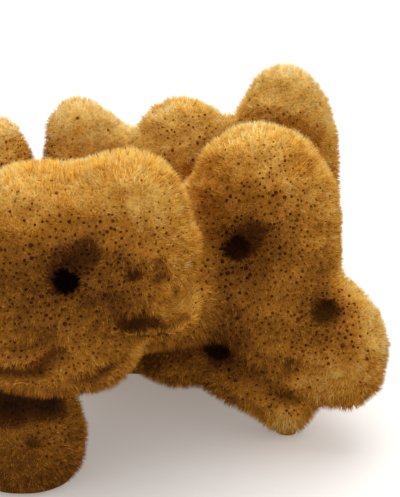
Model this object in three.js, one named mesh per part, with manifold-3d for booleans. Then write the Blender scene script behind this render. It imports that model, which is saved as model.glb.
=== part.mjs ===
// A natural sea sponge: one grown, many-lobed mass, harvested and dried, standing on the foot
// where it was cut from the rock. It is about as wide as a hand is long.
// Millimetres, +Z up. The front of the sponge faces -Y.
import * as THREE from 'three';
import { mergeVertices } from 'three/addons/utils/BufferGeometryUtils.js';
import Module from 'manifold-3d';

const wasm = await Module();
wasm.setup();

// Driving dimensions.
const FINE = 4; // subdivisions of the icosahedron behind a lobe with a broad face
const COARSE = 3; // and behind any other lobe
const LUMP = 0.035; // how far a lobe's surface swells and dips, as a share of its radius
const OSCULUM_REACH = 8; // how far an osculum's cutter stands out of the surface
const OSCULUM_SIDES = 8;
const RELAX_ROUNDS = 4; // how often the seams between the lobes are smoothed

// The lobes. at is the centre, size the three half-widths, turn the rotation about X, Y and Z in
// degrees, and square how boxy the lobe is: 2 is an ellipsoid, and more is squarer.
const LOBES = [
  // Front left: a pair of wide lobes that have grown together, over a lower tier with a lip.
  { at: [-23, -25, 90], size: [21, 22, 27], square: 2.7, detail: FINE },
  { at: [-19, -23, 83], size: [22, 22, 14], square: 2.6 },
  { at: [-49, -22, 84], size: [25, 26, 29], square: 2.4, detail: FINE },
  { at: [-34, -20, 84], size: [22, 25, 27], square: 2.3 },
  { at: [-66, -16, 74], size: [18, 22, 28], square: 2.2 },
  { at: [-50, -20, 52], size: [28, 24, 20], square: 2.5 },
  { at: [-32, -17, 52], size: [15, 22, 18], square: 2.5 },
  { at: [-15, -20, 61.5], size: [17.5, 23.5, 5.5], square: 2.4 },
  { at: [-48, -21, 67], size: [28, 25, 26], square: 2.3 },
  // Bottom left.
  { at: [-57.5, -14, 14], size: [23, 22, 23], square: 2.3 },
  { at: [-60, 14, 36], size: [20, 24, 23], square: 2.2 },
  // Right: an upright finger with a bulge low on its outer side, tapering to a small foot.
  { at: [19.5, 18, 87], size: [25, 23, 25], square: 2.5 },
  { at: [23, 18, 74], size: [26.5, 24.5, 30], square: 2.3 },
  { at: [25, 19, 48], size: [25, 25, 26], square: 2.2 },
  { at: [46, 14, 41], size: [12, 17, 19], square: 2.1 },
  { at: [50, 12, 32.5], size: [15.5, 18, 23.5], square: 2.2 },
  { at: [16, 18, 24], size: [19, 16, 17], turn: [0, 30, 0], square: 2.1 },
  { at: [25, 15, 15], size: [14, 13, 12], turn: [0, 30, 0], square: 2.1 },
  { at: [34, 15, 25], size: [16, 16, 16], square: 2.1 },
  { at: [30, 15, 8], size: [10, 10, 10], square: 2.1 },
  { at: [-9, 30, 25], size: [18, 17, 15], square: 2.1 },
  // The mass that holds the lobes together.
  { at: [-14, 20, 58], size: [38, 34, 28], square: 2.2 },
  { at: [-46, 22, 58], size: [32, 36, 28], square: 2.2 },
  { at: [18, 44, 48], size: [30, 30, 32], square: 2.2 },
  { at: [-18, 46, 46], size: [40, 28, 28], square: 2.2 },
  // Back: four fingers.
  { at: [-72, 60, 79], size: [15.5, 16, 24], square: 2.2 },
  { at: [-42.5, 63, 84], size: [14, 15, 24], square: 2.6 },
  { at: [-31, 64, 78], size: [11, 13, 22], square: 2.3 },
  { at: [-6, 58, 84], size: [19.5, 17, 26], square: 2.3 },
  { at: [28, 62, 93], size: [17, 17, 28], turn: [0, 5, 0], square: 2.5 },
  { at: [39, 62, 80], size: [12, 15, 29], square: 2.3 },
  // Their common base, and the foot that was cut from the rock.
  { at: [-60, 56, 52], size: [24, 24, 26], square: 2.2 },
  { at: [-30, 62, 46], size: [28, 22, 26], square: 2.2 },
  { at: [4, 62, 46], size: [28, 22, 30], square: 2.2 },
  { at: [34, 60, 46], size: [19, 22, 32], square: 2.2 },
  { at: [-52, 62, 20], size: [22, 17, 28], square: 2.3 },
  { at: [-10, 68, 18], size: [38, 15, 26], square: 2.3 },
  { at: [32, 62, 18], size: [17, 18, 26], square: 2.3 },
];

// The oscula, the large holes that the sponge breathed out through. at is the middle of the mouth,
// into the direction it runs in, mouth and neck its radii, and deep its depth.
const OSCULA = [
  { at: [-41, -46, 80], into: [0.1, 1, -0.1], mouth: 4.4, neck: 3.1, deep: 16 },
  { at: [12.9, -5, 75.5], into: [-0.2, 1, -0.25], mouth: 4.8, neck: 3.2, deep: 16 },
  { at: [42.5, -3, 50.6], into: [-0.3, 1, 0], mouth: 4.2, neck: 3.4, deep: 12 },
  { at: [6, 1.5, 34.4], into: [0, 1, 0.1], mouth: 4.5, neck: 3.4, deep: 14 },
  { at: [-78, 24, 60], into: [1, 0, -0.1], mouth: 4.6, neck: 3.2, deep: 14 },
  { at: [-16, 83, 50], into: [0.1, -1, -0.1], mouth: 5, neck: 3.2, deep: 15 },
  { at: [33, 80, 70], into: [0, -1, -0.2], mouth: 4.2, neck: 3, deep: 12 },
];

// A closed three.js geometry as a manifold-3d solid.
function solidFrom(geometry) {
  const bare = geometry.clone();
  bare.deleteAttribute('normal');
  bare.deleteAttribute('uv');
  const merged = mergeVertices(bare);
  return new wasm.Manifold(
    new wasm.Mesh({
      numProp: 3,
      vertProperties: merged.attributes.position.array,
      triVerts: new Uint32Array(merged.index.array),
    }),
  );
}

function geometryFrom(solid) {
  const mesh = solid.getMesh();
  const geometry = new THREE.BufferGeometry();
  geometry.setAttribute('position', new THREE.BufferAttribute(mesh.vertProperties, 3));
  geometry.setIndex(new THREE.BufferAttribute(mesh.triVerts, 1));
  geometry.computeVertexNormals();
  return geometry;
}

// The swell of a lobe's surface in one direction, from -1 to 1. Each seed gives another pattern.
function swell(d, seed) {
  return (
    (Math.sin(4.1 * d.x + 1.9 * seed) +
      Math.sin(5.3 * d.y + 2.7 * seed) +
      Math.sin(4.7 * d.z + 3.1 * seed)) /
    3
  );
}

function lobe({ at, size, turn = [0, 0, 0], square = 2, detail = COARSE }, seed) {
  const geometry = new THREE.IcosahedronGeometry(1, detail);
  const position = geometry.attributes.position;
  const rotation = new THREE.Euler(...turn.map(THREE.MathUtils.degToRad));
  const d = new THREE.Vector3();
  for (let i = 0; i < position.count; i++) {
    d.fromBufferAttribute(position, i).normalize();
    const powers = d.toArray().map((part) => Math.abs(part) ** square);
    const out = (powers[0] + powers[1] + powers[2]) ** (-1 / square) * (1 + LUMP * swell(d, seed));
    d.multiplyScalar(out).multiply(new THREE.Vector3(...size)).applyEuler(rotation);
    position.setXYZ(i, d.x + at[0], d.y + at[1], d.z + at[2]);
  }
  return solidFrom(geometry);
}

function osculum({ at, into, mouth, neck, deep }) {
  const profile = [
    new THREE.Vector2(0, -deep),
    new THREE.Vector2(neck * 0.75, -deep + neck * 0.35),
    new THREE.Vector2(neck, -deep + neck * 1.2),
    new THREE.Vector2(neck, -mouth * 0.9),
    new THREE.Vector2(mouth, 0),
    new THREE.Vector2(mouth * 1.6, OSCULUM_REACH),
    new THREE.Vector2(0, OSCULUM_REACH),
  ];
  const geometry = new THREE.LatheGeometry(profile, OSCULUM_SIDES);
  const out = new THREE.Vector3(...into).normalize().negate();
  geometry.applyQuaternion(new THREE.Quaternion().setFromUnitVectors(new THREE.Vector3(0, 1, 0), out));
  geometry.translate(...at);
  return solidFrom(geometry);
}

// Everything below the ground, as one slab.
function ground() {
  const slab = new THREE.BoxGeometry(400, 400, 100);
  slab.translate(0, 0, -50);
  return solidFrom(slab);
}

// The outer skin of a solid: pockets sealed in between the lobes are filled.
function outermost(solid) {
  return solid.decompose().reduce((a, b) => (a.volume() > b.volume() ? a : b));
}

// Rounds the seams between the lobes: every corner moves half way to the mean of its neighbours.
function relaxed(solid) {
  const { vertProperties, triVerts } = solid.getMesh();
  for (let round = 0; round < RELAX_ROUNDS; round++) {
    const sum = new Float64Array(vertProperties.length);
    const count = new Uint32Array(vertProperties.length / 3);
    for (let i = 0; i < triVerts.length; i++) {
      const from = triVerts[i];
      const to = triVerts[i % 3 === 2 ? i - 2 : i + 1];
      count[from] += 1;
      for (let axis = 0; axis < 3; axis++) {
        sum[3 * from + axis] += vertProperties[3 * to + axis];
      }
    }
    for (let k = 0; k < vertProperties.length; k++) {
      vertProperties[k] += 0.5 * (sum[k] / count[Math.floor(k / 3)] - vertProperties[k]);
    }
  }
  return new wasm.Manifold(new wasm.Mesh({ numProp: 3, vertProperties, triVerts }));
}

const grown = relaxed(outermost(wasm.Manifold.union(LOBES.map(lobe))));
const sponge = outermost(wasm.Manifold.difference([grown, ...OSCULA.map(osculum), ground()]));

// The origin is under the middle of the sponge, at the height of the cut foot.
const geometry = geometryFrom(sponge);
geometry.computeBoundingBox();
const middle = geometry.boundingBox.getCenter(new THREE.Vector3());
geometry.translate(-middle.x, -middle.y, 0);

const mesh = new THREE.Mesh(
  geometry,
  new THREE.MeshStandardMaterial({ color: 0xb98540, roughness: 0.95, metalness: 0 }),
);
mesh.name = 'sponge';

const group = new THREE.Group();
group.add(mesh);
export default group;
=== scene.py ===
"""A dried sea sponge: a soft, many-lobed mass under a nap of short fibres, full of fine pores."""
import math

import bpy
import numpy as np
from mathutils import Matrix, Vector
from mathutils.bvhtree import BVHTree
from mathutils.kdtree import KDTree


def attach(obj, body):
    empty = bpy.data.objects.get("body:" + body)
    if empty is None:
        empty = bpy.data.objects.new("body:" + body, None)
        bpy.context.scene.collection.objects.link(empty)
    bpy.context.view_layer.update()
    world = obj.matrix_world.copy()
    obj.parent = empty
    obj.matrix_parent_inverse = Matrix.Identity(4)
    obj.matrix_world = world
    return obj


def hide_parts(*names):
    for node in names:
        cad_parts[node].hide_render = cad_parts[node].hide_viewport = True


MM = 0.001

# Skin: the surface that the fibres grow from, just under the CAD surface, where their tips are.
REMESH_DEPTH = 7
REMESH_FILL = 0.95  # how much of the remesh grid's width the sponge takes up
SMOOTH_ROUNDS = 14
SKIN_DEPTH = 1.9 * MM
FOOT_HEIGHT = 0.7 * MM  # below this the skin is the flat cut foot, which has no fibres
FLAT_BELOW = 3 * MM  # below this nothing is pressed in

# How much of the open air each part of the surface sees, as told by rays. One that hits the sponge
# counts in part, by how far it got.
SKY_RAYS = 16
SKY_SEED = 7
SKY_REACH = 36 * MM
SKY_START = 0.5 * MM  # how far off the surface a ray starts
SKY_SMOOTH_ROUNDS = 4

# Smooth irregular patterns: the wavelength, the strength and the seed of each layer.
SWELL = ((12 * MM, 0.36 * MM, 3), (5 * MM, 0.18 * MM, 4))  # in the surface
PATCHES = ((26 * MM, 0.045, 1), (7 * MM, 0.035, 2))  # in the tone
UNEVEN_MOUTH = ((9 * MM, 0.16, 31), (4 * MM, 0.08, 32))  # in the radius of an osculum
COMBED = ((3.2 * MM, 0.12, 21), (3.2 * MM, 0.12, 22), (3.2 * MM, 0.12, 23))  # in the X, Y, Z lean
TUFTS = ((4 * MM, 0.12, 25),)  # in the length of a fibre
MOTTLES = ((1.6 * MM, 1, 24), (3.6 * MM, 0.6, 27))  # in the shade of a fibre, as shares of MOTTLE
CROWDS = ((34 * MM, 0.45, 5),)  # in how many pores there are
UNEVEN_PORE = ((1.3 * MM, 0.35, 26),)  # in the radius of a pore
WAVES = 7  # sines in a layer

# Tone, from 0, dark brown, to 1, straw, with painted light and painted shade in it.
MIDDLE_TONE = 0.55
TOP_PAINTED_LIGHT = 0.11  # painted light, added where the surface faces up
PALE_PAINTED_LIGHT = 0.13  # painted light, added in the middle of an ordinary pale patch
UNDERSIDE_PAINTED_SHADE = 0.70  # painted shade: the share of the tone that is left where the surface faces down
SHADED = 0.38  # the share that is left where it sees no open air
RIM_PAINTED_SHADE = 0.62  # painted shade: the share that is left at the rim of an osculum
THROAT_SKY = 0.55  # a throat counts as this open at least, as OSCULA says how dark it is

# Fibres.
NAP_SEED = 11
FIBRES = 186_000
SPARE_ROOTS = 1.25  # roots tried for each fibre, as some fall in pores and oscula
ROOT_DEPTH = 1.15 * SKIN_DEPTH  # just under the skin
FIBRE_LENGTH = (1.75 * MM, 2.85 * MM)
SHORT_IN_HOLLOW = 0.35  # how much shorter a fibre is where a hollow is darkest
SHORT_IN_THROAT = 0.65  # how much shorter it may be where an osculum turns bare
FIBRE_WIDTH = (0.14 * MM, 0.25 * MM)
ROOT_RADIUS = 0.55  # from the middle of a root to its corners, as a share of the width
FIBRE_LEAN = 0.42  # how far a fibre leans, as a share of its length
TURN_ASIDE = 0.2  # how much further it leans away from a pore next to it
TURN_WITHIN = 0.6 * MM  # how near such a pore is
FLATTEST = 0.25  # a fibre whose tip rises by less of its length than this is lifted
FIBRE_SHADES = (0.95, 0.95, 0.95, 1.36)  # at the root's three corners and at the tip, which is lighter as painted rim light
ONE_BY_ONE = (0.93, 1.07)  # how much the shade differs from fibre to fibre
MOTTLE = (0.25, 0.08)  # how uneven the nap's shade is on undersides, and on tops
SPECKS = 0.8  # how much further single fibres stand out in the painted shade of hollows, a few with painted light
PORE_EDGE = 0.66  # painted shade: the share of its shade that a fibre keeps at the edge of a pore
PORE_EDGE_WITHIN = 0.9 * MM  # how near to a pore the fibres are darker with this painted shade
NAP_SHEEN = 0.5  # how far the light on a fibre follows its own lean, and not the sponge's surface
NAP_PIECES = 4
LOWEST_TIP = 0.05 * MM  # over the floor

# Pores: pinholes in the nap, between the oscula. Calm ground has fewer: the tops, whose calm is 1,
# and the pale patches. The ground round an osculum is the least calm.
PALE_CALM = 0.9
RIM_CALM = -0.9
CALMEST = 1.6  # no ground counts as calmer
CALM_LOSS = 0.96  # the share of its pores that calm ground goes without
PORE_SPACING = 1.4 * MM
PORE_GAPS = (0.8, 1.9)  # the spacing varies at random between these times that
PORE_RADIUS = (0.18 * MM, 0.46 * MM)
LARGE_PORE = 0.6  # how much larger a few of the pores are
RIM_PORE = 0.35  # how much larger they are at the rim of an osculum
PORE_SIDES = 5
PORE_TRIES = 60_000
PORE_REACH = 14 * MM  # how far from an osculum the pores are denser and larger
PORE_CAP_SIZE = 1.1  # the width of a pore's dark cap of painted shade, beside that of the pore
PORE_CAP_RISE = 0.25 * MM
PORE_CAP_DEPTH = 0.6 * MM
PORE_SIDEWAYS = (0.36, 0.48, 0.80)  # any direction that few normals have

# How many spots the textures have in a metre: the skin's channels, and the patches in the pores.
SKIN_CELLS = 900
PORE_PATCHES = 300

# Oscula, the large holes: the middle of each mouth, the direction that it runs in, the radius of
# its mouth and how dark its painted shade is inside, from 0 to 1. Lengths are in millimetres.
OSCULA = (
    ((-30.1, -63.7, 80.0), (0.1, 1.0, -0.1), 4.4, 0.85),
    ((23.8, -22.7, 75.5), (-0.2, 1.0, -0.25), 4.8, 0.15),
    ((53.4, -20.7, 50.6), (-0.3, 1.0, 0.0), 4.2, 0.12),
    ((16.9, -16.2, 34.4), (0.0, 1.0, 0.1), 4.5, 0.80),
    ((-67.1, 6.3, 60.0), (1.0, 0.0, -0.1), 4.6, 0.85),
    ((-5.1, 65.3, 50.0), (0.1, -1.0, -0.1), 5.0, 0.85),
    ((43.9, 62.3, 70.0), (0.0, -1.0, -0.2), 4.2, 0.85),
)
THROAT = 19 * MM  # how far an osculum runs in
FUNNEL = 1.35  # how wide the way into one is, beside its mouth
DARKENING = (1 * MM, 10 * MM)  # how far down one the painted shade begins, and is full
BARE_BELOW = 6 * MM  # how far down an osculum the fibres grow
HALO = 9 * MM  # how far the painted shade round an osculum reaches

# Hollows and creases too small for the solid: where each starts and ends, how wide it is and how
# deep it is pressed in, in millimetres, and how dark its painted shade is, from 0 to 1.
HOLLOWS = (
    # The funnel down to the front left osculum, in two entries, and the dents by the other three.
    ((-29.5, -63.5, 84.0), (-23.5, -63.0, 89.5), 4.8, 3.2, 0.62),
    ((-30.0, -64.0, 84.5), (-27.0, -63.8, 86.0), 2.4, 3.4, 0.80),
    ((24.5, -22.0, 77.0), (28.5, -22.0, 81.0), 3.9, 3.0, 0.50),
    ((53.0, -18.5, 60.0), (55.0, -18.0, 62.5), 4.5, 1.2, 0.26),
    ((17.5, -14.0, 31.0), (21.0, -15.0, 28.0), 4.5, 1.0, 0.45),
    # Pits.
    ((-9.6, -63.5, 82.5), (-8.0, -63.5, 82.8), 1.5, 2.0, 0.74),
    ((-1.6, -62.5, 83.6), (0.4, -62.3, 87.0), 1.5, 1.4, 0.44),
    ((-1.5, -61.8, 80.6), (1.2, -61.4, 81.6), 1.6, 1.4, 0.52),
    ((40.1, -17.5, 28.6), (41.0, -17.5, 32.0), 3.0, 1.4, 0.42),
    ((-42.4, -50.8, 20.4), (-40.0, -50.8, 20.0), 2.2, 1.8, 0.70),
    ((-43.0, -50.5, 16.5), (-40.0, -50.5, 17.0), 6.0, 1.0, 0.35),
    ((-34.0, 62.0, 72.0), (-32.0, 62.0, 74.0), 2.4, 1.8, 0.55),
    ((18.0, 63.0, 40.0), (21.0, 63.0, 37.0), 2.2, 1.6, 0.55),
    ((-72.0, 30.0, 34.0), (-72.0, 33.0, 36.0), 2.4, 1.8, 0.55),
    # The slit over the lip of the front left mass, and the creases along its lower edge.
    ((-13.0, -57.2, 64.4), (-6.5, -57.0, 65.3), 1.4, 2.6, 0.84),
    ((-6.5, -57.0, 65.3), (2.5, -55.0, 65.5), 1.4, 2.0, 0.72),
    ((2.5, -55.0, 65.5), (8.0, -46.0, 65.4), 1.9, 1.4, 0.56),
    ((-57.0, -57.0, 46.0), (-38.5, -60.5, 49.0), 3.0, 2.8, 0.62),
    ((-38.5, -60.8, 49.0), (-33.5, -61.0, 54.5), 3.4, 2.4, 0.50),
    ((-44.0, -60.0, 56.0), (-37.0, -61.0, 59.0), 3.0, 1.8, 0.36),
    ((-25.0, -56.0, 43.0), (-11.5, -53.0, 48.5), 2.8, 2.0, 0.50),
    # The lip, and under it.
    ((-6.0, -58.0, 61.0), (8.5, -50.0, 61.0), 4.5, 0.0, 0.20),
    ((-10.0, -2.0, 26.0), (9.0, -11.0, 35.0), 9.0, 0.0, 0.60),
    # Between the bulge and the foot on the right, and down the finger's left side.
    ((22.0, -14.0, 30.0), (37.5, -16.0, 19.5), 3.8, 1.6, 0.32),
    ((38.0, -16.0, 19.0), (45.5, -17.0, 15.5), 2.2, 2.6, 0.60),
    ((19.5, -24.0, 62.0), (20.0, -19.0, 42.0), 6.0, 1.0, 0.28),
    # The middles of the two front faces get painted shade, a little darker than their rims.
    ((-58.0, -60.0, 74.0), (-22.0, -63.0, 80.0), 20.0, 0.0, 0.23),
    ((-56.0, -59.0, 70.0), (-48.0, -60.0, 88.0), 12.0, 0.0, 0.30),
    ((19.0, -23.0, 82.0), (30.0, -22.0, 52.0), 16.0, 0.0, 0.12),
    # The bottom left lobe is darker with painted shadow from the mass over it, and darkest on top.
    ((-54.0, -46.0, 31.5), (-47.5, -46.0, 31.0), 7.0, 3.0, 0.97),
    ((-47.5, -46.0, 32.0), (-26.0, -43.0, 31.0), 7.0, 0.5, 0.96),
    ((-60.0, -44.0, 16.0), (-34.0, -44.0, 16.0), 22.0, 0.0, 0.46),
)

# Paler patches of painted light, with fewer pores: the middle and the width of each, in
# millimetres, and how pale.
PALE = (
    ((-3.0, -57.0, 97.0), 12.0, 0.5),
    ((62.0, -11.0, 40.0), 15.0, 1.3),
    ((57.0, -16.0, 27.0), 14.0, 1.4),
    ((41.0, -14.0, 4.0), 9.0, 1.7),
    ((-61.0, 42.0, 98.0), 20.0, 0.9),
    ((-27.0, 46.0, 98.0), 22.0, 1.0),
    ((5.0, 41.0, 104.0), 22.0, 0.5),
    ((40.0, 44.0, 114.0), 20.0, 1.0),
)

# Light: a bright room, brightest behind and above, one soft lamp, and a floor that glows a little.
ROOM_BRIGHTEST = (0, 0.6, 0.8)
ROOM_GLOW = (0.66, 1.35)
FLOOR_COLOUR = (0.60, 0.585, 0.57, 1)
FLOOR_GLOW_COLOUR = (1, 0.92, 0.84, 1)
FLOOR_GLOW = 0.26
FLOOR_SIZE = 8
LAMP_AT = (0.05, 0.35, 0.95)
LAMP_TARGET = (0, 0, 0.06)
LAMP_SIZE = 1.2
LAMP_WATTS = 10

# Camera.
VIEW_TARGET = Vector((10.9, -17.7, 74.5)) * MM
VIEW_DISTANCE = 600 * MM
VIEW_ELEVATION = math.radians(22)
LENS = 134.7
SENSOR_WIDTH = 36


def unit(vectors):
    """The vectors, each made one long."""
    return vectors / np.linalg.norm(vectors, axis=1, keepdims=True)


def neighbours_mean(values, edges, degree):
    """For every vertex, the mean of the values of those that it shares an edge with."""
    total = np.empty_like(values)
    for column in range(values.shape[1]):
        one = values[:, column]
        total[:, column] = np.bincount(edges[:, 0], one[edges[:, 1]], len(values))
        total[:, column] += np.bincount(edges[:, 1], one[edges[:, 0]], len(values))
    return total / degree


def edge_data(mesh):
    """The vertex pairs of a mesh's edges, and how many edges meet at each vertex."""
    edges = np.empty(len(mesh.edges) * 2, int)
    mesh.edges.foreach_get("vertices", edges)
    edges = edges.reshape(-1, 2)
    return edges, np.bincount(edges.ravel(), minlength=len(mesh.vertices))[:, None]


def smooth(mesh, rounds):
    """Laplacian smoothing, in place: each vertex moves half way to the mean of its neighbours."""
    points, _ = vertex_data(mesh)
    edges, degree = edge_data(mesh)
    for _ in range(rounds):
        points += 0.5 * (neighbours_mean(points, edges, degree) - points)
    mesh.vertices.foreach_set("co", points.ravel())
    mesh.update()


def vertex_data(mesh):
    """The points and unit normals of a mesh's vertices."""
    points = np.empty(len(mesh.vertices) * 3)
    mesh.vertices.foreach_get("co", points)
    normals = np.empty(len(mesh.vertices) * 3)
    mesh.vertex_normals.foreach_get("vector", normals)
    return points.reshape(-1, 3), normals.reshape(-1, 3)


def even_copy(node):
    """A new mesh in the shape of a CAD node, with even faces and rounded seams."""
    copy = node.copy()
    copy.data = node.data.copy()
    bpy.context.scene.collection.objects.link(copy)
    remesh = copy.modifiers.new("remesh", "REMESH")
    remesh.mode = "SMOOTH"
    remesh.octree_depth = REMESH_DEPTH
    remesh.scale = REMESH_FILL
    graph = bpy.context.evaluated_depsgraph_get()
    mesh = bpy.data.meshes.new_from_object(copy.evaluated_get(graph))
    bpy.data.objects.remove(copy)
    smooth(mesh, SMOOTH_ROUNDS)
    return mesh


def relief(mesh):
    """Presses the hollows and a gentle swell into a mesh, and tells how dark their painted shade
    makes each vertex.
    """
    points, normals = vertex_data(mesh)
    press, dark = hollows(points)
    press += pattern(points, SWELL)
    press[points[:, 2] < FLAT_BELOW] = 0
    mesh.vertices.foreach_set("co", (points - normals * press[:, None]).ravel())
    mesh.update()
    return dark


def openness(mesh):
    """For every vertex, the share of the open air that it sees, from 0 to 1."""
    points, normals = vertex_data(mesh)
    tree = BVHTree.FromPolygons(points.tolist(), [tuple(face.vertices) for face in mesh.polygons])
    rng = np.random.default_rng(SKY_SEED)
    seen = np.zeros(len(points))
    starts = (points + normals * SKY_START).tolist()
    for _ in range(SKY_RAYS):
        # Rays spread round the normal as soft light does. The factor is over 1, so that none of
        # them has a length of 0 before it is made one long.
        rays = unit(normals * 1.02 + unit(rng.normal(size=points.shape)))
        for index, (start, ray) in enumerate(zip(starts, rays.tolist())):
            distance = tree.ray_cast(start, ray, SKY_REACH)[3]
            seen[index] += 1 if distance is None else distance / SKY_REACH
    seen = seen[:, None] / SKY_RAYS
    edges, degree = edge_data(mesh)
    for _ in range(SKY_SMOOTH_ROUNDS):
        seen = neighbours_mean(seen, edges, degree)
    return seen[:, 0]


def scatter(mesh, values, count, rng):
    """count random points on a mesh, even by area, with their smooth normals and their values."""
    mesh.calc_loop_triangles()
    corners = np.empty(len(mesh.loop_triangles) * 3, int)
    mesh.loop_triangles.foreach_get("vertices", corners)
    corners = corners.reshape(-1, 3)
    points, normals = vertex_data(mesh)
    a, b, c = (points[corners[:, k]] for k in range(3))
    area = np.linalg.norm(np.cross(b - a, c - a), axis=1)
    chosen = corners[rng.choice(len(corners), count, p=area / area.sum())]
    u = np.sqrt(rng.random(count))
    v = rng.random(count)
    weights = np.stack([1 - u, u * (1 - v), u * v], axis=1)
    at, normal, value = (
        np.einsum("nk,nkd->nd", weights, each[chosen]) for each in (points, normals, values)
    )
    return at, unit(normal), value


def nearest(points, targets):
    """For every point, the distance to the nearest target and which one that is."""
    tree = KDTree(len(targets))
    for index, target in enumerate(targets):
        tree.insert(target, index)
    tree.balance()
    found = [tree.find(point) for point in points]
    return np.array([hit[2] for hit in found]), np.array([hit[1] for hit in found])


def spread_out(points, spacing):
    """Those points that are at least their own spacing from every earlier one."""
    cell = spacing.max()
    kept = {}
    result = []
    for point, gap in zip(points, spacing):
        key = tuple(np.floor(point / cell).astype(int))
        close = (
            other
            for x in (-1, 0, 1)
            for y in (-1, 0, 1)
            for z in (-1, 0, 1)
            for other in kept.get((key[0] + x, key[1] + y, key[2] + z), ())
        )
        if all(sum((p - o) ** 2 for p, o in zip(point, other)) > gap * gap for other in close):
            kept.setdefault(key, []).append(point)
            result.append(point)
    return np.array(result)


def waves(points, wavelength, seed):
    """A smooth pattern in space, mostly from -1 to 1, with no grain, and another for each seed."""
    rng = np.random.default_rng(seed)
    total = np.zeros(len(points))
    for _ in range(WAVES):
        direction = rng.normal(size=3)
        direction /= np.linalg.norm(direction)
        phase = points @ direction * (2 * math.pi / wavelength) + rng.random() * 2 * math.pi
        total += np.sin(phase)
    return total / math.sqrt(WAVES)


def pattern(points, layers, start=0):
    """The layers of a pattern, added up from start."""
    return sum((strength * waves(points, wave, seed) for wave, strength, seed in layers), start)


def mesh_piece(name, points, faces, material):
    """A new piece of triangles."""
    mesh = bpy.data.meshes.new(name)
    mesh.vertices.add(len(points))
    mesh.vertices.foreach_set("co", points.ravel())
    mesh.loops.add(faces.size)
    mesh.loops.foreach_set("vertex_index", faces.ravel())
    mesh.polygons.add(len(faces))
    mesh.polygons.foreach_set("loop_start", np.arange(len(faces)) * 3)
    mesh.update(calc_edges=True)
    mesh.materials.append(material)
    piece = bpy.data.objects.new(name, mesh)
    bpy.context.scene.collection.objects.link(piece)
    return piece


def point_value(mesh, name, values):
    """Gives a mesh one named value for each vertex."""
    attribute = mesh.attributes.new(name, "FLOAT", "POINT")
    attribute.data.foreach_set("value", np.ascontiguousarray(values, dtype=np.float32))


def soft_step(values, low, high):
    """0 below low, 1 above high, and a smooth rise between them."""
    share = np.clip((values - low) / (high - low), 0, 1)
    return share * share * (3 - 2 * share)


def oscula(points):
    """How far each point is from a rim and how far down a throat, and how dark the throat's
    painted shade is.
    """
    rim = np.full(len(points), np.inf)
    down = np.zeros(len(points))
    dark = np.zeros(len(points))
    for at, into, radius, darkness in OSCULA:
        axis = np.array(into) / np.linalg.norm(into)
        offset = points - np.array(at) * MM
        depth = offset @ axis
        out = np.linalg.norm(offset - depth[:, None] * axis, axis=1)
        out *= pattern(points, UNEVEN_MOUTH, 1)
        inside = (out < FUNNEL * radius * MM) & (depth < THROAT)
        down = np.where(inside, np.maximum(down, depth), down)
        dark = np.where(inside, darkness * soft_step(depth, *DARKENING), dark)
        past = np.hypot(np.clip(out - radius * MM, 0, None), np.clip(-depth, 0, None))
        rim = np.where(depth < THROAT, np.minimum(rim, past), rim)
    return rim, down, dark


def hollows(points):
    """How far each point is pressed in by the hollows, and how dark their painted shade makes it.
    """
    press = np.zeros(len(points))
    dark = np.zeros(len(points))
    for start, end, width, depth, painted_shade in HOLLOWS:
        first = np.array(start) * MM
        run = np.array(end) * MM - first
        share = np.clip((points - first) @ run / (run @ run), 0, 1)
        away = np.linalg.norm(points - first - share[:, None] * run, axis=1) / (width * MM)
        near = np.exp(-away * away)
        press = np.maximum(press, near * depth * MM)
        dark = np.maximum(dark, near * painted_shade)
    return press, dark


def paleness(points):
    """How pale the patches of painted light make each point, where 1 is an ordinary patch."""
    pale = np.zeros(len(points))
    for at, width, strength in PALE:
        away = np.linalg.norm(points - np.array(at) * MM, axis=1) / (width * MM)
        pale = np.maximum(pale, strength * np.exp(-away * away))
    return pale


def tone(points, normals, painted_shade, sky):
    """How light the sponge is at each point, from 0, dark brown, to 1, straw, with painted light
    and shade.
    """
    up = normals[:, 2]
    light = pattern(points, PATCHES, MIDDLE_TONE)
    # Painted light: lighter where the surface faces up and in the pale patches.
    light += TOP_PAINTED_LIGHT * soft_step(up, -0.1, 0.9) + PALE_PAINTED_LIGHT * paleness(points)
    # Painted shade: darker where the surface faces down.
    light *= UNDERSIDE_PAINTED_SHADE + (1 - UNDERSIDE_PAINTED_SHADE) * soft_step(up, -0.7, 0.2)
    # Painted shade: where little open air is seen, round and down the oscula, and in the hollows.
    rim, down, dark = oscula(points)
    sky = np.maximum(sky, THROAT_SKY * soft_step(down, 0, 4 * MM))
    light *= SHADED + (1 - SHADED) * soft_step(sky, 0.05, 0.75)
    light *= (1 - (1 - RIM_PAINTED_SHADE) * np.exp(-rim / HALO)) * (1 - dark)
    return light * (1 - painted_shade)


def ramp(nodes, stops):
    """A colour ramp node with these stops."""
    node = nodes.new("ShaderNodeValToRGB")
    elements = node.color_ramp.elements
    while len(elements) < len(stops):
        elements.new(0.5)
    for element, (position, colour) in zip(elements, stops):
        element.position = position
        element.color = (*colour, 1)
    return node


def toned_material(name, stops):
    """A matt material whose colour goes through the stops as the shade rises from 0 to 1."""
    material = bpy.data.materials.new(name)
    material.use_nodes = True
    nodes = material.node_tree.nodes
    shader = nodes["Principled BSDF"]
    shader.inputs["Roughness"].default_value = 0.8
    shader.inputs["Specular IOR Level"].default_value = 0.04
    shade = nodes.new("ShaderNodeAttribute")
    shade.attribute_name = "shade"
    colour = ramp(nodes, stops)
    material.node_tree.links.new(shade.outputs["Fac"], colour.inputs["Fac"])
    return material, shader, colour.outputs["Color"]


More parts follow.
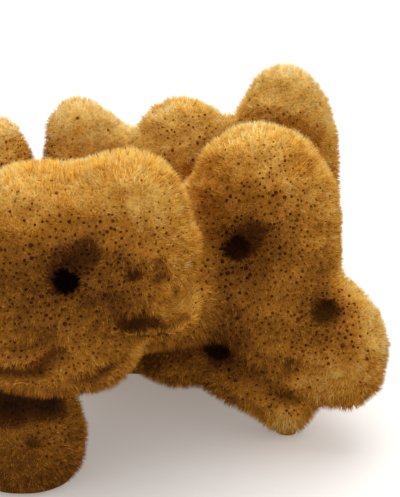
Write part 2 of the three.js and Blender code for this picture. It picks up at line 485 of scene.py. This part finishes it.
def textured(material, shader, colour, kind, scale, output, stops):
    """Darkens a colour with a texture on its way to the shader, and gives the texture's output."""
    nodes = material.node_tree.nodes
    links = material.node_tree.links
    where = nodes.new("ShaderNodeTexCoord")
    texture = nodes.new(kind)
    texture.inputs["Scale"].default_value = scale
    links.new(where.outputs["Object"], texture.inputs["Vector"])
    shades = ramp(nodes, stops)
    links.new(texture.outputs[output], shades.inputs["Fac"])
    product = nodes.new("ShaderNodeVectorMath")
    product.operation = "MULTIPLY"
    links.new(colour, product.inputs[0])
    links.new(shades.outputs["Color"], product.inputs[1])
    links.new(product.outputs["Vector"], shader.inputs["Base Color"])
    return texture.outputs[output]


def nap_material():
    """Golden fibres, from dark brown to straw as the shade says."""
    stops = [
        (0.0, (0.020, 0.007, 0.002)),
        (0.24, (0.19, 0.062, 0.007)),
        (0.46, (0.60, 0.23, 0.023)),
        (0.64, (0.87, 0.405, 0.044)),
        (0.79, (0.90, 0.56, 0.13)),
        (0.89, (0.89, 0.64, 0.26)),
        (1.0, (0.88, 0.70, 0.40)),
    ]
    material, shader, colour = toned_material("nap", stops)
    material.node_tree.links.new(colour, shader.inputs["Base Color"])
    return material


def skin_material():
    """Brown sponge between the fibres, with a fine network of channels."""
    stops = [
        (0.0, (0.012, 0.004, 0.001)),
        (0.25, (0.10, 0.032, 0.005)),
        (0.55, (0.42, 0.17, 0.020)),
        (0.8, (0.80, 0.48, 0.110)),
        (1.0, (0.88, 0.66, 0.260)),
    ]
    material, shader, colour = toned_material("skin", stops)
    walls = [(0.0, (0.5, 0.45, 0.4)), (0.6, (1, 1, 1))]
    voronoi = "ShaderNodeTexVoronoi"
    cells = textured(material, shader, colour, voronoi, SKIN_CELLS, "Distance", walls)
    bump = material.node_tree.nodes.new("ShaderNodeBump")
    bump.inputs["Distance"].default_value = 0.4 * MM
    material.node_tree.links.new(cells, bump.inputs["Height"])
    material.node_tree.links.new(bump.outputs["Normal"], shader.inputs["Normal"])
    return material


def pore_shade_material():
    """Painted shade inside a pore: a dark red-brown."""
    stops = [
        (0.0, (0.012, 0.003, 0.001)),
        (0.3, (0.060, 0.016, 0.002)),
        (0.8, (0.220, 0.062, 0.010)),
    ]
    material, shader, colour = toned_material("pore", stops)
    patches = [(0.35, (0.6, 0.5, 0.5)), (0.65, (1, 1, 1))]
    textured(material, shader, colour, "ShaderNodeTexNoise", PORE_PATCHES, "Fac", patches)
    return material


def make_skin(mesh, shade):
    """The skin piece: the even mesh, let in by SKIN_DEPTH everywhere but on the cut foot."""
    points, normals = vertex_data(mesh)
    inner = points - normals * SKIN_DEPTH
    on_foot = points[:, 2] < FOOT_HEIGHT
    inner[on_foot, 2] = points[on_foot, 2]
    mesh.vertices.foreach_set("co", inner.ravel())
    mesh.update()
    mesh.polygons.foreach_set("use_smooth", np.ones(len(mesh.polygons), bool))
    point_value(mesh, "shade", shade)
    mesh.materials.clear()
    mesh.materials.append(skin_material())
    piece = bpy.data.objects.new("skin", mesh)
    bpy.context.scene.collection.objects.link(piece)
    return piece


def place_pores(mesh, values, rng):
    """Where the pores are and their radii: dense and large round the oscula, sparse on tops."""
    tries, normals, _ = scatter(mesh, values, PORE_TRIES, rng)
    calm = soft_step(normals[:, 2], 0.2, 0.9) + PALE_CALM * paleness(tries)
    calm += pattern(tries, CROWDS)
    rim, down, _ = oscula(tries)
    calm += RIM_CALM * np.exp(-rim / PORE_REACH)
    open_ground = (down < BARE_BELOW) & (tries[:, 2] > FOOT_HEIGHT)
    open_ground &= rng.random(PORE_TRIES) > CALM_LOSS * soft_step(calm, 0.2, 0.9)
    spacing = PORE_SPACING * (1 + np.clip(calm, 0, CALMEST)) * rng.uniform(*PORE_GAPS, PORE_TRIES)
    pores = spread_out(tries[open_ground], spacing[open_ground])
    sizes = rng.uniform(*PORE_RADIUS, len(pores)) * (1 + LARGE_PORE * rng.random(len(pores)) ** 3)
    return pores, sizes * (1 + RIM_PORE * np.exp(-oscula(pores)[0] / PORE_REACH))


def place_roots(mesh, values, pores, sizes, rng):
    """The roots of the fibres, with normals and values, and how each lies to pores and throats.

    None is in a pore, deep in an osculum or on the cut foot, and few are in the darkest hollows.
    """
    roots, normals, values = scatter(mesh, values, int(FIBRES * SPARE_ROOTS), rng)
    distance, pore = nearest(roots, pores)
    distance -= sizes[pore] * pattern(roots, UNEVEN_PORE, 1)
    down = oscula(roots)[1]
    keep = (distance > 0) & (roots[:, 2] > FOOT_HEIGHT) & (down < BARE_BELOW)
    keep &= rng.random(len(roots)) > soft_step(values[:, 1], 0.7, 1.0)
    return [each[keep][:FIBRES] for each in (roots, normals, values, distance, pore, down)]


def fibre_directions(roots, normals, distance, away, rng):
    """The way that each fibre points: out, with a lean of its own, and aside next to a pore."""
    lean = rng.normal(size=roots.shape) * 0.5
    lean += np.stack([pattern(roots, [layer]) for layer in COMBED], axis=1)
    near_pore = np.clip(1 - distance / TURN_WITHIN, 0, 1)[:, None]
    lean = FIBRE_LEAN * lean * (1 - 0.5 * near_pore)
    direction = unit(normals + lean + TURN_ASIDE * near_pore * away)
    flat = np.clip(FLATTEST - (direction * normals).sum(1), 0, None)[:, None]
    return direction + 2 * flat * normals


def fibre_corners(roots, normals, direction, dark, down, rng):
    """The four corners of each fibre: three round its root, under the skin, and its tip."""
    count = len(roots)
    length = rng.uniform(*FIBRE_LENGTH, count) * pattern(roots, TUFTS, 1)
    in_throat = soft_step(down, 0, BARE_BELOW)
    length *= (1 - SHORT_IN_HOLLOW * dark) * (1 - SHORT_IN_THROAT * rng.random(count) * in_throat)
    width = rng.uniform(*FIBRE_WIDTH, count)
    side = unit(np.cross(direction, rng.normal(size=(count, 3))))
    other = np.cross(direction, side)
    base = roots - normals * ROOT_DEPTH
    tip = base + direction * length[:, None]
    tip[:, 2] = np.maximum(tip[:, 2], LOWEST_TIP)
    corners = [
        base + (math.cos(turn) * side + math.sin(turn) * other) * width[:, None] * ROOT_RADIUS
        for turn in (0, math.tau / 3, 2 * math.tau / 3)
    ]
    return np.stack([*corners, tip], axis=1)


def fibre_shades(roots, normals, shade, dark, distance, rng):
    """How light each fibre is: uneven, more so in the painted shade of hollows, and darker with
    painted shade next to a pore.
    """
    low, top = MOTTLE
    mottle = low - (low - top) * soft_step(normals[:, 2], -0.1, 0.6)
    shade = shade * rng.uniform(*ONE_BY_ONE, len(roots))
    for wave, strength, seed in MOTTLES:
        shade *= 1 + strength * mottle * waves(roots, wave, seed)
    shade *= 1 + SPECKS * dark * (2 * rng.random(len(roots)) ** 3 - 0.5)
    return shade * (PORE_EDGE + (1 - PORE_EDGE) * np.clip(distance / PORE_EDGE_WITHIN, 0, 1))


def make_nap(mesh, vertex_shade, painted_shade):
    """The fibres, as slim three-sided spikes in NAP_PIECES pieces, and the pores between them."""
    rng = np.random.default_rng(NAP_SEED)
    values = np.stack([vertex_shade, painted_shade], axis=1)
    pores, sizes = place_pores(mesh, values, rng)
    roots, normals, values, distance, pore, down = place_roots(mesh, values, pores, sizes, rng)
    shade, dark = values.T
    direction = fibre_directions(roots, normals, distance, unit(roots - pores[pore]), rng)
    corners = fibre_corners(roots, normals, direction, dark, down, rng)
    shade = fibre_shades(roots, normals, shade, dark, distance, rng)

    # Custom normals that mostly follow the sponge's surface light the nap like velvet.
    facing = unit(normals + NAP_SHEEN * direction)
    order = np.argsort(np.arctan2(roots[:, 1], roots[:, 0]))
    spike = np.array([[0, 2, 1], [0, 1, 3], [1, 2, 3], [2, 0, 3]])
    material = nap_material()
    pieces = []
    for number, part in enumerate(np.array_split(order, NAP_PIECES), 1):
        faces = (spike[None] + 4 * np.arange(len(part))[:, None, None]).reshape(-1, 3)
        piece = mesh_piece(f"nap_{number}", corners[part].reshape(-1, 3), faces, material)
        point_value(piece.data, "shade", np.outer(shade[part], FIBRE_SHADES).ravel())
        piece.data.polygons.foreach_set("use_smooth", np.ones(len(faces), bool))
        piece.data.normals_split_custom_set_from_vertices(np.repeat(facing[part], 4, axis=0))
        pieces.append(piece)
    return pieces, pores, sizes


def make_pores(mesh, vertex_shade, pores, sizes):
    """A dark pit for every pore: a low dark cap of painted shade on the skin, where no fibre
    grows.
    """
    skin_points, skin_normals = vertex_data(mesh)
    _, at = nearest(pores, skin_points)
    normal = skin_normals[at]
    side = unit(np.cross(normal, PORE_SIDEWAYS))
    other = np.cross(normal, side)
    centre = pores - normal * SKIN_DEPTH
    size = sizes[:, None] * PORE_CAP_SIZE
    ring = [
        centre + (math.cos(turn) * side + math.sin(turn) * other) * size
        for turn in np.arange(PORE_SIDES) * 2 * math.pi / PORE_SIDES
    ]
    top = centre + normal * PORE_CAP_RISE
    bottom = centre - normal * PORE_CAP_DEPTH
    points = np.stack([top, bottom, *ring], axis=1)
    around = [(k + 2, (k + 1) % PORE_SIDES + 2) for k in range(PORE_SIDES)]
    cap = np.array([(0, a, b) for a, b in around] + [(1, b, a) for a, b in around])
    faces = (cap[None] + (PORE_SIDES + 2) * np.arange(len(pores))[:, None, None]).reshape(-1, 3)
    piece = mesh_piece("pores", points.reshape(-1, 3), faces, pore_shade_material())
    point_value(piece.data, "shade", np.repeat(vertex_shade[at], PORE_SIDES + 2))
    return piece


def make_floor():
    """A plain pale floor, a little brighter than the light alone would make it."""
    bpy.ops.mesh.primitive_plane_add(size=FLOOR_SIZE)
    floor = bpy.context.object
    floor.name = "floor"
    material = bpy.data.materials.new("floor")
    material.use_nodes = True
    shader = material.node_tree.nodes["Principled BSDF"]
    shader.inputs["Base Color"].default_value = FLOOR_COLOUR
    shader.inputs["Roughness"].default_value = 0.6
    shader.inputs["Emission Color"].default_value = FLOOR_GLOW_COLOUR
    shader.inputs["Emission Strength"].default_value = FLOOR_GLOW
    floor.data.materials.append(material)


def make_room():
    """The world: a soft glow from all round, and plain white where the camera sees it."""
    world = bpy.data.worlds.new("studio")
    bpy.context.scene.world = world
    world.use_nodes = True
    nodes = world.node_tree.nodes
    links = world.node_tree.links
    where = nodes.new("ShaderNodeTexCoord")
    facing = nodes.new("ShaderNodeVectorMath")
    facing.operation = "DOT_PRODUCT"
    facing.inputs[1].default_value = ROOM_BRIGHTEST
    links.new(where.outputs["Generated"], facing.inputs[0])
    glow = nodes.new("ShaderNodeMapRange")
    glow.inputs["From Min"].default_value = -0.6
    glow.inputs["From Max"].default_value = 0.9
    glow.inputs["To Min"].default_value = ROOM_GLOW[0]
    glow.inputs["To Max"].default_value = ROOM_GLOW[1]
    links.new(facing.outputs["Value"], glow.inputs["Value"])
    path = nodes.new("ShaderNodeLightPath")
    seen = nodes.new("ShaderNodeMix")
    seen.inputs["B"].default_value = 1
    links.new(path.outputs["Is Camera Ray"], seen.inputs["Factor"])
    links.new(glow.outputs["Result"], seen.inputs["A"])
    links.new(seen.outputs["Result"], nodes["Background"].inputs["Strength"])
    nodes["Background"].inputs["Color"].default_value = (1, 1, 1, 1)


def make_lamp():
    """One large soft lamp, above and a little behind the sponge."""
    lamp = bpy.data.lights.new("softbox", "AREA")
    lamp.size = LAMP_SIZE
    lamp.energy = LAMP_WATTS
    box = bpy.data.objects.new("softbox", lamp)
    box.location = LAMP_AT
    box.rotation_euler = (box.location - Vector(LAMP_TARGET)).to_track_quat("Z", "Y").to_euler()
    bpy.context.scene.collection.objects.link(box)


def make_camera():
    """The camera, looking down at the front of the sponge as the photo's did."""
    camera = bpy.data.objects.new("camera", bpy.data.cameras.new("camera"))
    camera.data.lens = LENS
    camera.data.sensor_width = SENSOR_WIDTH
    back = Vector((0, -math.cos(VIEW_ELEVATION), math.sin(VIEW_ELEVATION)))
    camera.location = VIEW_TARGET + VIEW_DISTANCE * back
    camera.rotation_euler = (math.pi / 2 - VIEW_ELEVATION, 0, 0)
    bpy.context.scene.collection.objects.link(camera)
    bpy.context.scene.camera = camera


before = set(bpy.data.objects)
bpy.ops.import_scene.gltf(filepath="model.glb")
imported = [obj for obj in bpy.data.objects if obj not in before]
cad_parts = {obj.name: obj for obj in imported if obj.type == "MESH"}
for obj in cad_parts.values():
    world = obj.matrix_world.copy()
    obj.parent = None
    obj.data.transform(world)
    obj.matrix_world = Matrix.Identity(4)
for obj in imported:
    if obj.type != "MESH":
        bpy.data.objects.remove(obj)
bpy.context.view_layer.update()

surface = even_copy(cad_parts["sponge"])
painted_shades = relief(surface)
shades = tone(*vertex_data(surface), painted_shades, openness(surface))
nap, pores, pore_sizes = make_nap(surface, shades, painted_shades)
pits = make_pores(surface, shades, pores, pore_sizes)
skin = make_skin(surface, shades)
for piece in (skin, pits, *nap):
    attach(piece, "root")
    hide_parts("sponge")

make_floor()
make_room()
make_lamp()
make_camera()
bpy.context.scene.view_settings.view_transform = "Standard"
